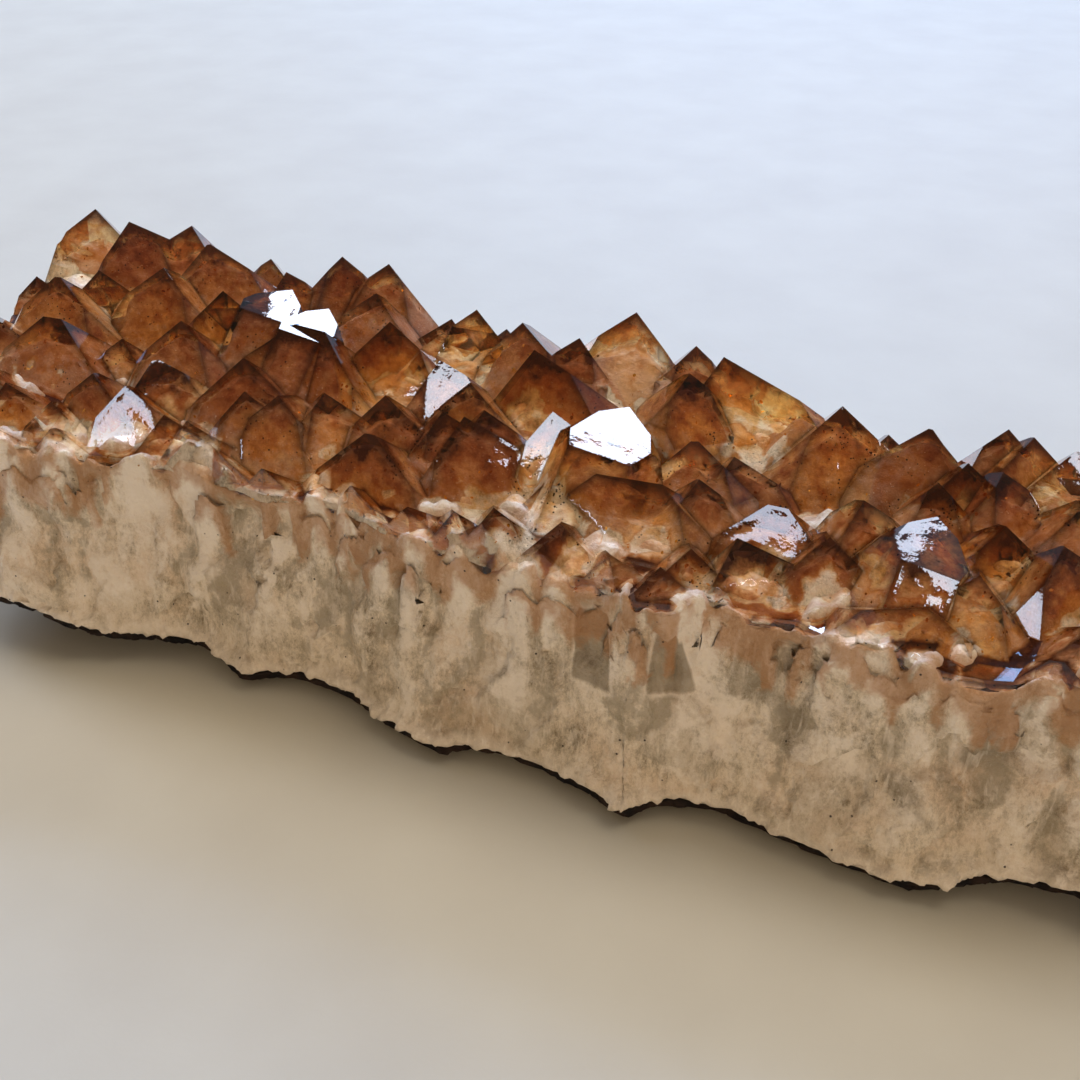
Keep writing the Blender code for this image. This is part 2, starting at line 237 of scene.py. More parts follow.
def smooth_step(low: float, high: float, values: np.ndarray) -> np.ndarray:
    """Rise smoothly from 0 at low to 1 at high."""
    share = np.clip((values - low) / (high - low), 0.0, 1.0)
    return share * share * (3.0 - 2.0 * share)


def field(points: np.ndarray, size: tuple[float, float, float], seed: float, octaves: int = 1) -> np.ndarray:
    """Noise at points.

    Args:
        points: positions in millimetres.
        size: width of the noise's lumps along X, Y and Z, in millimetres.
        seed: shifts the pattern.
        octaves: number of layers, each half as wide as the last.

    Returns:
        A value of about -1 to 1 for each point.
    """
    scaled = points / np.array(size) + seed
    if octaves == 1:
        return np.array([noise.noise(Vector(p)) for p in scaled])
    return np.array([noise.fractal(Vector(p), 1.0, 2.0, octaves) for p in scaled])


def blurred(mesh: bpy.types.Mesh, values: np.ndarray, rounds: int) -> np.ndarray:
    """Smooth numbers over a mesh.

    Args:
        mesh: the mesh.
        values: a number for each vertex.
        rounds: how many times each is averaged with its neighbours' along the mesh's edges.

    Returns:
        The smoothed numbers.
    """
    ends = np.zeros(2 * len(mesh.edges), np.int32)
    mesh.edges.foreach_get("vertices", ends)
    start, end = ends[::2], ends[1::2]
    neighbours = np.bincount(ends, minlength=len(values))
    for _ in range(rounds):
        total = np.bincount(start, values[end], len(values)) + np.bincount(end, values[start], len(values))
        values = (values + total / neighbours) / 2
    return values


def apply_modifiers(obj: bpy.types.Object) -> None:
    """Replace an object's mesh by its evaluated one.

    Args:
        obj: the object, which loses its modifiers.
    """
    bpy.context.view_layer.update()
    evaluated = obj.evaluated_get(bpy.context.evaluated_depsgraph_get())
    mesh = bpy.data.meshes.new_from_object(evaluated)
    obj.modifiers.clear()
    old = obj.data
    obj.data = mesh
    bpy.data.meshes.remove(old)


def remeshed(name: str, node: str, voxel: float) -> bpy.types.Object:
    """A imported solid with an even, fine mesh.

    Args:
        name: the new object's name.
        node: the solid's name.
        voxel: the width of the mesh's faces in millimetres.

    Returns:
        The object.
    """
    obj = to_object(name, welded(node))
    modifier = obj.modifiers.new("voxels", "REMESH")
    modifier.mode = "VOXEL"
    modifier.voxel_size = voxel * MM
    apply_modifiers(obj)
    return obj


def place(obj: bpy.types.Object, node: str, slot: str, material: bpy.types.Material) -> None:
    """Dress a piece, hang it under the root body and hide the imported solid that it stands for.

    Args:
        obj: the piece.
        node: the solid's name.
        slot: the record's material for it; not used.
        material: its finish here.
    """
    obj.data.materials.clear()
    obj.data.materials.append(material)
    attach(obj, "root")
    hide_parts(node)
    LOG.info("%s: %d faces", obj.name, len(obj.data.polygons))


@dataclass(frozen=True)
class CitrineGlass:
    """Heat-treated quartz with its natural growth faces.

    The faces are glossy and clear, so the eye looks through amber glass at the cloudy cores. Iron gathered
    along the ridges and at the tips, and turns them reddish brown. The clefts between crystals are darkened
    with the same colour as painted shade. The colour drifts in patches of 2 mm.
    """

    ior: float = 1.544
    roughness: float = 0.02
    absorption_density: float = 155.0
    absorption_colour: Rgba = (0.95, 0.84, 0.54, 1.0)
    clear: str = "#FFFBF4"
    amber: str = "#E5AE6B"
    brown: str = "#A65C2F"
    tip: str = "#2A0B06"
    # ridge: iron's dark red-brown along the ridges, also used as painted shade in the clefts between crystals
    ridge: str = "#1A0704"
    patch_width: float = 2.0833
    patch_depth: float = 0.25
    waviness: float = 0.03

    def build(self) -> bpy.types.Material:
        """Make the finish of the outer faces of the points.

        Returns:
            The material.
        """
        material, tree, shader = new_material("citrine_growth_faces")
        spot = add_node(tree, "TexCoord", output="Object")
        rim, tip, facet = [add_node(tree, "Attribute", output="Fac", attribute_name=name)
                           for name in ("rim", "tip", "facet")]
        patches = add_node(tree, "TexNoise", {"Vector": spot, "Scale": per_metre(self.patch_width),
                                              "Detail": 3.0, "Roughness": 0.6})
        drift = add_node(tree, "MapRange", {"Value": patches, **NOISE_RANGE,
                                            "To Min": -self.patch_depth, "To Max": self.patch_depth})
        sector = add_node(tree, "Math", {0: drift, 1: facet}, operation="ADD")
        zone = add_node(tree, "Math", {0: tip, 1: sector}, operation="ADD")
        near_tip = add_node(tree, "ValToRGB", {"Fac": zone}, stops=(
            (0.05, self.clear), (0.34, self.amber), (0.62, self.brown), (0.92, self.tip)))
        # The "rim" attribute darkens towards the ridge colour: iron along the ridges, and painted shade in
        # the clefts between crystals.
        edge = add_node(tree, "MapRange", {"Value": rim, "From Min": 0.05, "From Max": 0.85, "To Max": 0.95})
        tint = add_node(tree, "MixRGB", {"Fac": edge, "Color1": near_tip, "Color2": self.ridge})
        bump = add_node(tree, "Bump", {"Strength": self.waviness, "Distance": 0.3 * MM, "Height": patches})
        connect(tree, shader, {"Base Color": tint, "Normal": bump, "Roughness": self.roughness,
                               "IOR": self.ior, "Transmission Weight": 1.0})
        volume = add_node(tree, "VolumeAbsorption", {"Color": self.absorption_colour,
                                                     "Density": self.absorption_density})
        connect(tree, tree.nodes["Material Output"], {"Volume": volume})
        return material


@dataclass(frozen=True)
class MilkyQuartz:
    """Massive milky quartz, broken open.

    Tiny bubbles make it grainy cream and grey to the eye, with feathery white threads. Where it is free of
    them, flat clear windows look smoky, because the light runs into them. Iron stains it rusty at the seam.
    """

    dark: str = "#84775F"
    smoke: str = "#C6BBA6"
    cream: str = "#ECE1CE"
    pale: str = "#FBF4E8"
    peach: str = "#DDB78E"
    # grey: the gaps between the columns, partly painted shade in those recesses
    grey: str = "#9C927C"
    window: str = "#7C705A"
    clear: str = "#9C917B"
    rust: str = "#B57E46"
    speck: str = "#2A2018"
    ior: float = 1.544
    roughness: float = 0.42
    grit_width: float = 4.3478
    blush_width: float = 9.0909
    grain_width: float = 0.76923
    speck_spacing: float = 2.38095
    cloud_width: float = 3.125
    thread_width: float = 0.90909
    haze_width: float = 3.0303

    def colour(self, tree: Tree, spot: Socket) -> Socket:
        """The grainy cream: cloudy at half a centimetre and gritty down to a tenth of a millimetre.

        Args:
            tree: the material's nodes.
            spot: the place, in the mesh's own metres.

        Returns:
            The colour.
        """
        slant = add_node(tree, "Mapping", {"Vector": spot, "Scale": (1.0, 1.0, 0.55),
                                           "Rotation": (0.0, 0.30, 0.0)})
        grit = add_node(tree, "TexNoise", {"Vector": slant, "Scale": per_metre(self.grit_width),
                                           "Detail": 9.0, "Roughness": 0.88})
        grainy = add_node(tree, "ValToRGB", {"Fac": grit}, stops=(
            (0.36, self.dark), (0.44, self.smoke), (0.52, self.cream), (0.63, self.pale)))
        warmth = add_node(tree, "TexNoise", {"Vector": spot, "Scale": per_metre(self.blush_width),
                                             "Detail": 3.0})
        blush = add_node(tree, "MapRange", {"Value": warmth, "From Min": 0.50, "From Max": 0.72,
                                            "To Max": 0.40})
        return add_node(tree, "MixRGB", {"Fac": blush, "Color1": grainy, "Color2": self.peach})

    def build(self) -> bpy.types.Material:
        """Make the finish of the pale band.

        Returns:
            The material.
        """
        material, tree, shader = new_material("milky_quartz")
        spot = add_node(tree, "TexCoord", output="Object")
        tone, stain = [add_node(tree, "Attribute", output="Fac", attribute_name=name)
                       for name in ("tone", "stain")]
        dull = add_node(tree, "ValToRGB", {"Fac": tone}, stops=((0.55, 0.0), (1.0, 0.35)))
        colour = self.colour(tree, spot)
        colour = add_node(tree, "MixRGB", {"Fac": dull, "Color1": colour, "Color2": self.dark})
        colour = self.add_columns(tree, spot, colour)
        colour = self.add_threads(tree, spot, colour)
        colour = self.add_windows(tree, spot, colour)
        grains = add_node(tree, "TexNoise", {"Vector": spot, "Scale": per_metre(self.grain_width),
                                             "Detail": 3.0, "Roughness": 0.65})
        value = add_node(tree, "Math", {0: stain, 1: grains}, operation="ADD")
        rusty = add_node(tree, "MapRange", {"Value": value, "From Min": 0.65, "From Max": 1.45,
                                            "To Max": 0.65})
        colour = add_node(tree, "MixRGB", {"Fac": rusty, "Color1": colour, "Color2": self.rust})
        cells = add_node(tree, "TexVoronoi", {"Vector": spot, "Scale": per_metre(self.speck_spacing)})
        specks = add_node(tree, "ValToRGB", {"Fac": cells}, stops=((0.04, 1.0), (0.07, 0.0)))
        colour = add_node(tree, "MixRGB", {"Fac": specks, "Color1": colour, "Color2": self.speck})
        bump = add_node(tree, "Bump", {"Strength": 0.9, "Distance": 0.4 * MM, "Height": grains})
        connect(tree, shader, {"Base Color": colour, "Normal": bump, "Roughness": self.roughness,
                               "IOR": self.ior})
        return material

    def add_columns(self, tree: Tree, spot: Socket, colour: Socket) -> Socket:
        """Whiten the hearts of the columns, and grey the recessed gaps between them: partly clearer quartz,
        partly painted shade.

        Args:
            tree: the material's nodes.
            spot: the place.
            colour: the colour so far.

        Returns:
            The new colour.
        """
        column, haze = [add_node(tree, "Attribute", output="Fac", attribute_name=name)
                        for name in ("column", "haze")]
        cloud = add_node(tree, "TexNoise", {"Vector": spot, "Scale": per_metre(self.cloud_width),
                                            "Detail": 5.0, "Roughness": 0.7})
        drift = add_node(tree, "MapRange", {"Value": cloud, **NOISE_RANGE, "To Min": -0.5, "To Max": 0.5})
        value = add_node(tree, "Math", {0: column, 1: drift}, operation="ADD")
        # Painted shade, in part: grey in the recessed gaps between the columns.
        gap = add_node(tree, "ValToRGB", {"Fac": value}, stops=((0.0, 0.65), (0.36, 0.0)))
        colour = add_node(tree, "MixRGB", {"Fac": gap, "Color1": colour, "Color2": self.grey})
        smoky = add_node(tree, "MapRange", {"Value": haze, "To Max": 0.5})
        colour = add_node(tree, "MixRGB", {"Fac": smoky, "Color1": colour, "Color2": self.window})
        heart = add_node(tree, "ValToRGB", {"Fac": value}, stops=((0.62, 0.0), (1.0, 0.80)))
        return add_node(tree, "MixRGB", {"Fac": heart, "Color1": colour, "Color2": self.pale})

    def add_threads(self, tree: Tree, spot: Socket, colour: Socket) -> Socket:
        """Whiten feathery, leaning threads and the lower rim.

        Args:
            tree: the material's nodes.
            spot: the place.
            colour: the colour so far.

        Returns:
            The new colour.
        """
        lean = add_node(tree, "Mapping", {"Vector": spot, "Scale": (1.0, 1.0, 0.20),
                                          "Rotation": (0.0, -0.45, 0.0)})
        threads = add_node(tree, "TexNoise", {"Vector": lean, "Scale": per_metre(self.thread_width),
                                              "Detail": 3.0, "Roughness": 0.6, "Distortion": 0.4})
        strands = add_node(tree, "ValToRGB", {"Fac": threads}, stops=((0.54, 0.0), (0.72, 0.55)))
        rim = add_node(tree, "Attribute", output="Fac", attribute_name="rim")
        white = add_node(tree, "Math", {0: strands, 1: rim}, operation="ADD", use_clamp=True)
        return add_node(tree, "MixRGB", {"Fac": white, "Color1": colour, "Color2": self.pale})

    def add_windows(self, tree: Tree, spot: Socket, colour: Socket) -> Socket:
        """Lay the smoky windows over the colour, each with a thin bright edge.

        Args:
            tree: the material's nodes.
            spot: the place.
            colour: the colour so far.

        Returns:
            The new colour.
        """
        reach = add_node(tree, "Attribute", output="Fac", attribute_name="window")
        haze = add_node(tree, "TexNoise", {"Vector": spot, "Scale": per_metre(self.haze_width),
                                           "Detail": 3.0})
        smoky = add_node(tree, "ValToRGB", {"Fac": haze}, stops=((0.42, self.window), (0.60, self.clear)))
        edge = add_node(tree, "ValToRGB", {"Fac": reach}, stops=((0.50, 0.0), (0.53, 0.45), (0.60, 0.0)))
        colour = add_node(tree, "MixRGB", {"Fac": edge, "Color1": colour, "Color2": self.pale})
        inside = add_node(tree, "ValToRGB", {"Fac": reach}, stops=((0.46, 0.75), (0.51, 0.0)))
        return add_node(tree, "MixRGB", {"Fac": inside, "Color1": colour, "Color2": smoky})


@dataclass(frozen=True)
class CloudyCitrine:
    """The cloudy inside of the points, grown with bubbles and iron in it.

    To the eye it is a peach haze with rusty blotches of 1 mm, pale flecks and dark specks, and it fades
    through ochre into milky quartz at the foot.
    """

    gold: str = "#EFBE78"
    peach: str = "#DDB692"
    russet: str = "#C48F66"
    ochre: str = "#BE8648"
    rust: str = "#84492A"
    fleck: str = "#FFF3E0"
    speck: str = "#1A120A"
    roughness: float = 0.35
    cloud_width: float = 3.84615
    lump_width: float = 0.76923
    fleck_width: float = 0.384615
    speck_spacing: float = 0.66667
    hue_drift: float = 0.25
    milk_drift: float = 0.16

    def build(self) -> bpy.types.Material:
        """Make the finish of the cloudy cores.

        Returns:
            The material.
        """
        material, tree, shader = new_material("cloudy_citrine")
        spot = add_node(tree, "TexCoord", output="Object")
        depth, tone = [add_node(tree, "Attribute", output="Fac", attribute_name=name)
                       for name in ("amber", "tone")]
        cloud = add_node(tree, "TexNoise", {"Vector": spot, "Scale": per_metre(self.cloud_width),
                                            "Detail": 4.0, "Roughness": 0.6})
        lumps = add_node(tree, "TexNoise", {"Vector": spot, "Scale": per_metre(self.lump_width),
                                            "Detail": 6.0, "Roughness": 0.75})
        spread = add_node(tree, "MapRange", {"Value": cloud, **NOISE_RANGE,
                                             "To Min": -self.hue_drift, "To Max": self.hue_drift})
        hue = add_node(tree, "Math", {0: tone, 1: spread}, operation="ADD")
        colour = add_node(tree, "ValToRGB", {"Fac": hue}, stops=(
            (0.10, self.russet), (0.50, self.peach), (0.95, self.gold)))
        blotch = add_node(tree, "MixRGB", {"Fac": 0.35, "Color1": lumps, "Color2": depth})
        rusty = add_node(tree, "ValToRGB", {"Fac": blotch}, stops=((0.46, 0.0), (0.70, 0.60)))
        colour = add_node(tree, "MixRGB", {"Fac": rusty, "Color1": colour, "Color2": self.rust})
        grains = add_node(tree, "TexNoise", {"Vector": spot, "Scale": per_metre(self.fleck_width),
                                             "Detail": 2.0, "Roughness": 0.6})
        flecks = add_node(tree, "ValToRGB", {"Fac": grains}, stops=((0.66, 0.0), (0.74, 0.6)))
        colour = add_node(tree, "MixRGB", {"Fac": flecks, "Color1": colour, "Color2": self.fleck})
        colour = self.fade_to_milk(tree, spot, colour, lumps)
        colour = self.add_specks(tree, spot, colour, cloud, depth)
        bump = add_node(tree, "Bump", {"Strength": 1.0, "Distance": 0.5 * MM, "Height": lumps})
        connect(tree, shader, {"Base Color": colour, "Normal": bump, "Roughness": self.roughness})
        return material

    def fade_to_milk(self, tree: Tree, spot: Socket, colour: Socket, grain: Socket) -> Socket:
        """Turn ochre and then milky where the crystals grew out of the band, with a ragged edge.

        Args:
            tree: the material's nodes.
            spot: the place.
            colour: the colour so far.
            grain: the noise that makes the edge ragged.

        Returns:
            The new colour.
        """
        low = add_node(tree, "Attribute", output="Fac", attribute_name="low")
        drift = add_node(tree, "MapRange", {"Value": grain, **NOISE_RANGE,
                                            "To Min": -self.milk_drift, "To Max": self.milk_drift})
        ragged = add_node(tree, "Math", {0: low, 1: drift}, operation="ADD")
        warm = add_node(tree, "ValToRGB", {"Fac": ragged}, stops=((0.10, 0.0), (0.45, 0.75)))
        colour = add_node(tree, "MixRGB", {"Fac": warm, "Color1": colour, "Color2": self.ochre})
        milk = add_node(tree, "ValToRGB", {"Fac": ragged}, stops=((0.40, 0.0), (0.80, 1.0)))
        return add_node(tree, "MixRGB", {"Fac": milk, "Color1": colour,
                                         "Color2": MilkyQuartz().colour(tree, spot)})

    def add_specks(self, tree: Tree, spot: Socket, colour: Socket, cloud: Socket, depth: Socket) -> Socket:
        """Pepper some patches with dark specks, more of them near the tips.

        Args:
            tree: the material's nodes.
            spot: the place.
            colour: the colour so far.
            cloud: the noise that makes the patches.
            depth: how near the place is to a tip.

        Returns:
            The new colour.
        """
        cells = add_node(tree, "TexVoronoi", {"Vector": spot, "Scale": per_metre(self.speck_spacing)})
        dots = add_node(tree, "ValToRGB", {"Fac": cells}, stops=((0.15, 1.0), (0.22, 0.0)))
        high = add_node(tree, "MapRange", {"Value": depth, "To Max": 0.08})
        near = add_node(tree, "Math", {0: cloud, 1: high}, operation="ADD")
        patch = add_node(tree, "ValToRGB", {"Fac": near}, stops=((0.63, 0.0), (0.68, 1.0)))
        specks = add_node(tree, "Math", {0: dots, 1: patch}, operation="MULTIPLY")
        return add_node(tree, "MixRGB", {"Fac": specks, "Color1": colour, "Color2": self.speck})


@dataclass(frozen=True)
class Basalt:
    """Weathered basalt: nearly black, matt and rough, so the eye sees only a dark edge."""

    dark: str = "#120E0B"
    rust: str = "#3A2A1E"
    roughness: float = 0.9
    lump_width: float = 2.0

    def build(self) -> bpy.types.Material:
        """Make the finish of the rind.

        Returns:
            The material.
        """
        material, tree, shader = new_material("basalt")
        spot = add_node(tree, "TexCoord", output="Object")
        lumps = add_node(tree, "TexNoise", {"Vector": spot, "Scale": per_metre(self.lump_width),
                                            "Detail": 6.0})
        colour = add_node(tree, "ValToRGB", {"Fac": lumps}, stops=((0.4, self.dark), (0.75, self.rust)))
        bump = add_node(tree, "Bump", {"Strength": 0.8, "Distance": 0.5 * MM, "Height": lumps})
        connect(tree, shader, {"Base Color": colour, "Normal": bump, "Roughness": self.roughness})
        return material


@dataclass
class Tips:
    """The tops of the points, which the colour zones follow, with each crystal's own character."""

    places: np.ndarray
    slope: float = 1.1
    column_edge: float = 3.2
    column_wander: float = 3.0
    clear_steps: tuple[float, ...] = (1.6, 2.6, 4.0, 6.0, 9.0)
    clear_shares: tuple[float, ...] = (0.20, 0.24, 0.24, 0.19, 0.13)
    seed: int = 3

    def tones(self) -> np.ndarray:
        """How russet (0) or golden (1) each crystal is."""
        return np.random.default_rng(self.seed).uniform(0.0, 1.0, len(self.places))

    def clear_depths(self) -> np.ndarray:
        """How many millimetres of clear quartz each crystal has over its cloudy core."""
        rng = np.random.default_rng(self.seed + 1)
        return rng.choice(self.clear_steps, len(self.places), p=self.clear_shares)

    def columns(self, points: np.ndarray) -> np.ndarray:
        """Which places lie in the column of quartz under a crystal (1) and which between two columns (0).

        Args:
            points: places in millimetres.

        Returns:
            The share of each point.
        """
        tree = KDTree(len(self.places))
        for i, (x, y, _) in enumerate(self.places):
            tree.insert(Vector((x, y, 0.0)), i)
        tree.balance()
        wander = [self.column_wander * field(points, (9.0, 9.0, 8.0), seed, 3) for seed in (71.0, 83.0)]
        found = [tree.find_n(Vector((x, y, 0.0)), 2)
                 for x, y in zip(points[:, 0] + wander[0], points[:, 1] + wander[1])]
        between = np.array([second[2] - first[2] for first, second in found])
        return smooth_step(0.0, self.column_edge, between)

    def envelope(self, points: np.ndarray) -> tuple[np.ndarray, np.ndarray]:
        """The grown surface over each point, taking each crystal as a cone.

        Args:
            points: places in millimetres.

        Returns:
            The surface's height and the number of the crystal, for each point.
        """
        heights = np.full(len(points), -1e9)
        owner = np.zeros(len(points), int)
        for number, (x, y, z) in enumerate(self.places):
            cone = z - self.slope * np.hypot(points[:, 0] - x, points[:, 1] - y)
            owner[cone > heights] = number
            heights = np.maximum(heights, cone)
        return heights, owner


class BandSurface:
    """The height of the band's top, or of its underside, at any place; in millimetres."""

    def __init__(self, top: bool, node: str = "quartz_band", grid: float = 1.0) -> None:
        """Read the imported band.

        Args:
            top: whether the top is measured, or else the underside.
            node: the band's name.
            grid: spacing of the places that are measured.
        """
        bm = welded(node)
        low, high = CAD_BOX[0] / MM, CAD_BOX[1] / MM
        tree = BVHTree.FromBMesh(bm)
        bm.free()
        start, way = (1.0, -1.0) if top else (-1.0, 1.0)
        found = []
        for x in np.arange(low[0], high[0], grid):
            for y in np.arange(low[1], high[1], grid):
                hit = tree.ray_cast(Vector((x * MM, y * MM, start)), Vector((0.0, 0.0, way)))[0]
                if hit is not None and (hit.z > 0.5 * high[2] * MM) == top:
                    found.append((x, y, hit.z / MM))
        self.heights = np.array(found)
        self.tree = KDTree(len(found))
        for i, (x, y, _) in enumerate(found):
            self.tree.insert(Vector((x, y, 0.0)), i)
        self.tree.balance()

    def beside(self, points: np.ndarray) -> np.ndarray:
        """The surface's height at, or nearest to, each point."""
        return np.array([self.heights[self.tree.find(Vector((x, y, 0.0)))[1], 2] for x, y, _ in points])


@dataclass
class CitrineCrust:
    """The grown-together points: clear amber outside, cloudy cores inside."""

    node: str = "citrine_crystals"
    grown_slope: float = 0.2
    least_slope: float = 0.02
    hidden_slope: float = -0.5
    underside: float = -0.8
    edge_near_ridge: float = 0.75
    edge_inside: float = 1.5
    fine_reach: float = 1.6
    ridge_angle: float = 14.0
    valley_angle: float = 4.0
    sharp_angle: float = 8.0
    edge_spacing: float = 0.25
    rim_width: tuple[float, float] = (0.45, 1.60)
    tip_fade: float = 3.8
    skirt: float = 1.4
    facet_relief: float = 0.008
    relief_edge: tuple[float, float] = (0.2, 1.2)
    facet_contrast: float = 0.27
    facet_range: tuple[float, float] = (-0.35, 1.0)
    rim_strength: tuple[float, float] = (0.65, 1.0)
    cleft_shade_strength: float = 0.85
    cleft_shade_width: float = 0.40
    core_voxel: float = 0.57
    core_depth: float = 0.45
    core_rounds: int = 4
    core_blur: int = 12
    core_lumps: float = 0.40
    core_margin: float = 0.3
    least_core: float = 1.5
    amber_reach: tuple[float, float] = (0.5, 6.0)
    milk_rise: float = 3.6
    milk_edge: tuple[float, float] = (-0.8, 1.2)
    milk_depth: tuple[float, float] = (0.8, 2.6)
    milk_swell: float = 2.4
    milk_raggedness: float = 1.4
    bare_edge: tuple[float, float] = (0.8, 2.4)
    bare_reach: float = 0.55
    bare_depth: float = 2.0

    def edge_kind(self, edge: bmesh.types.BMEdge) -> Edge:
        """How the two facets of an edge meet.

        Args:
            edge: the edge.

        Returns:
            The kind of edge.
        """
        angle = math.degrees(edge.calc_face_angle_signed(0.0))
        if angle < -self.valley_angle:
            return Edge.VALLEY
        return Edge.RIDGE if angle > self.ridge_angle else Edge.FLAT

    def find_points(self, bm: bmesh.types.BMesh) -> Tips:
        """Mark which crystal each facet belongs to, and find the crystals' tops.

        Args:
            bm: the welded crust; its faces get a "crystal" number, or -1 where they are broken.

        Returns:
            The tops of the crystals.
        """
        mark = bm.faces.layers.int.new("crystal")
        for face in bm.faces:
            face[mark] = -1
        tops = []
        for seed in [face for face in bm.faces if face.normal.z > self.grown_slope]:
            if seed[mark] >= 0:
                continue
            number = len(tops)
            seed[mark] = number
            stack, best = [seed], Vector((0.0, 0.0, -1.0))
            while stack:
                face = stack.pop()
                best = max([best] + [v.co for v in face.verts], key=lambda co: co.z)
                for edge in face.edges:
                    if self.edge_kind(edge) == Edge.VALLEY:
                        continue
                    for other in edge.link_faces:
                        if other[mark] < 0 and other.normal.z > self.grown_slope:
                            other[mark] = number
                            stack.append(other)
            tops.append(best / MM)
        return Tips(np.array([list(top) for top in tops]))

    def edge_points(self, bm: bmesh.types.BMesh, kind: Edge, seam: BandSurface) -> KDTree:
        """Find the edges of one kind between growth faces, above the ragged foot of the crystals.

        Args:
            bm: the crust.
            kind: the kind of edge.
            seam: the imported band's top.

        Returns:
            A search tree of closely spaced points along the edges.
        """
        found = []
        for edge in bm.edges:
            if self.edge_kind(edge) != kind or min(f.normal.z for f in edge.link_faces) < self.least_slope:
                continue
            foot = min(edge.verts, key=lambda vert: vert.co.z).co / MM
            if foot.z < seam.beside(np.array([list(foot)]))[0] + self.skirt:
                continue
            start, end = edge.verts[0].co, edge.verts[1].co
            steps = max(1, int((end - start).length / (self.edge_spacing * MM)))
            found += [start.lerp(end, i / steps) for i in range(steps + 1)]
        tree = KDTree(len(found))
        for i, point in enumerate(found):
            tree.insert(point, i)
        tree.balance()
        return tree

    def mark_facets(self, bm: bmesh.types.BMesh, seed: int = 11) -> None:
        """Give each flat facet a depth of colour; quartz takes up its colour sector by sector.

        Args:
            bm: the crust with its "crystal" numbers; its faces get a "facet" number.
            seed: seeds the random depths.
        """
        mark = bm.faces.layers.int["crystal"]
        layer = bm.faces.layers.float.new("facet")
        rng = np.random.default_rng(seed)
        tones = {}
        for face in bm.faces:
            key = (face[mark],) + tuple(round(n, 1) for n in face.normal)
            if key not in tones:
                tones[key] = self.facet_contrast * rng.uniform(*self.facet_range)
            face[layer] = tones[key]

    def refine(self, bm: bmesh.types.BMesh, ridges: KDTree, rounds: int = 7) -> None:
        """Split the long edges of the visible facets, more finely near the ridges than inside the facets.

        Args:
            bm: the crust.
            ridges: points along the ridges.
            rounds: the most times that an edge is halved.
        """
        def too_long(edge: bmesh.types.BMEdge) -> bool:
            """Whether an edge is longer than the mesh's edges are to be at its place.

            Args:
                edge: the edge.

            Returns:
                Whether it is to be halved.
            """
            length = edge.calc_length() / MM
            hidden = max(f.normal.z for f in edge.link_faces) <= self.hidden_slope
            if length <= self.edge_near_ridge or hidden:
                return False
            if length > self.edge_inside:
                return True
            middle = (edge.verts[0].co + edge.verts[1].co) / 2
            return ridges.find(middle)[2] < self.fine_reach * MM

        for _ in range(rounds):
            long = [edge for edge in bm.edges if too_long(edge)]
            if not long:
                break
            bmesh.ops.subdivide_edges(bm, edges=long, cuts=1)
            bmesh.ops.triangulate(bm, faces=[f for f in bm.faces if len(f.verts) > 3])

    def build_glass(self, seam: BandSurface) -> tuple[bpy.types.Object, Tips]:
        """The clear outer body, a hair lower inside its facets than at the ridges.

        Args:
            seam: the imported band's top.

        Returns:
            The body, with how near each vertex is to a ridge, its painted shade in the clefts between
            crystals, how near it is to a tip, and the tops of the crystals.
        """
        bm = welded(self.node)
        tips = self.find_points(bm)
        ridges, clefts = [self.edge_points(bm, kind, seam) for kind in (Edge.RIDGE, Edge.VALLEY)]
        self.mark_facets(bm)
        self.refine(bm, ridges)
        mark = bm.faces.layers.int["crystal"]
        owner = np.array([max(face[mark] for face in vert.link_faces) for vert in bm.verts])
        obj = to_object("citrine_points", bm)
        points = positions(obj.data)
        gap, cleft = [np.array([tree.find(Vector(p) * MM)[2] for p in points]) / MM
                      for tree in (ridges, clefts)]
        inner = smooth_step(*self.relief_edge, gap) * self.facet_relief
        points -= normals(obj.data) * (inner * (1.0 + field(points, (2.5, 2.5, 1.4), 9.0, 2)))[:, None]
        set_positions(obj.data, points)
        below = np.where(owner >= 0, tips.places[owner, 2] - points[:, 2], 9.0)
        near_tip = np.exp(-np.maximum(0.0, below) / self.tip_fade)
        low = self.milkiness(points, tips, seam, obj)
        (thin, wide), (faint, strong) = self.rim_width, self.rim_strength
        rim = np.exp(-(gap / (thin + (wide - thin) * near_tip)) ** 1.5)
        rim = rim * (faint + (strong - faint) * near_tip)
        # Painted shade: the clefts between crystals are darkened towards the ridge colour, as if shaded where
        # they crowd together.
        rim = np.maximum(rim, self.cleft_shade_strength * np.exp(-(cleft / self.cleft_shade_width) ** 2))
        store(obj.data, "rim", rim * (1.0 - low))
        store(obj.data, "tip", near_tip * (1.0 - low))
        obj.data.shade_smooth()
        obj.data.set_sharp_from_angle(angle=math.radians(self.sharp_angle))
        obj.visible_shadow = False
        return obj, tips

    def face_tree(self, obj: bpy.types.Object, grown: bool) -> BVHTree:
        """Pick out the glass body's grown faces, or its broken ones.

        Args:
            obj: the glass body.
            grown: whether the grown faces are wanted.

        Returns:
            A search tree of the faces, without the crust's underside.
        """
        mesh = obj.data
        marks = np.zeros(len(mesh.polygons), np.int32)
        mesh.attributes["crystal"].data.foreach_get("value", marks)
        chosen = [list(face.vertices) for face, mark in zip(mesh.polygons, marks)
                  if (mark >= 0) == grown and face.normal.z > self.underside]
        return BVHTree.FromPolygons([vert.co for vert in mesh.vertices], chosen)

